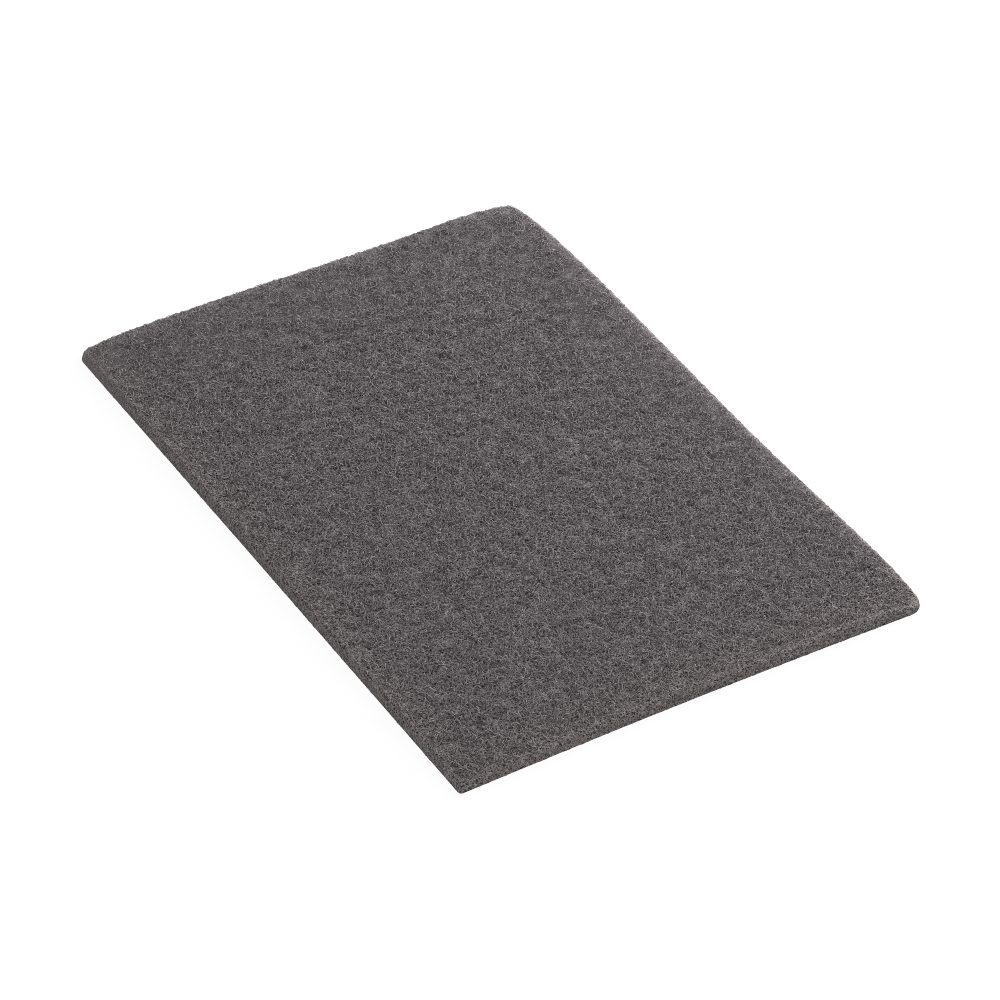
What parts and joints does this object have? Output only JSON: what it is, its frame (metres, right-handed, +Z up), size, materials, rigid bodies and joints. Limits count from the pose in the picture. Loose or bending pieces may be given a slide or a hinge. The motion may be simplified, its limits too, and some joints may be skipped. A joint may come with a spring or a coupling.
{
  "type": "abrasive hand pad",
  "caption": "Flat rectangular abrasive hand pad of grey bonded non-woven fibre web, with rolled cut edges and pinched corners.",
  "frame": {"origin": "middle of the lower face, on the surface the pad lies on", "axes": "+X along the short side, +Y along the long side away from the near edge, +Z up through the thickness"},
  "size_m": [0.1542, 0.2292, 0.0048],
  "materials": {
    "grey_fibre_web": "matte"
  },
  "bodies": {
    "root": {"fibre_pad": "grey_fibre_web"}
  },
  "joints": []
}
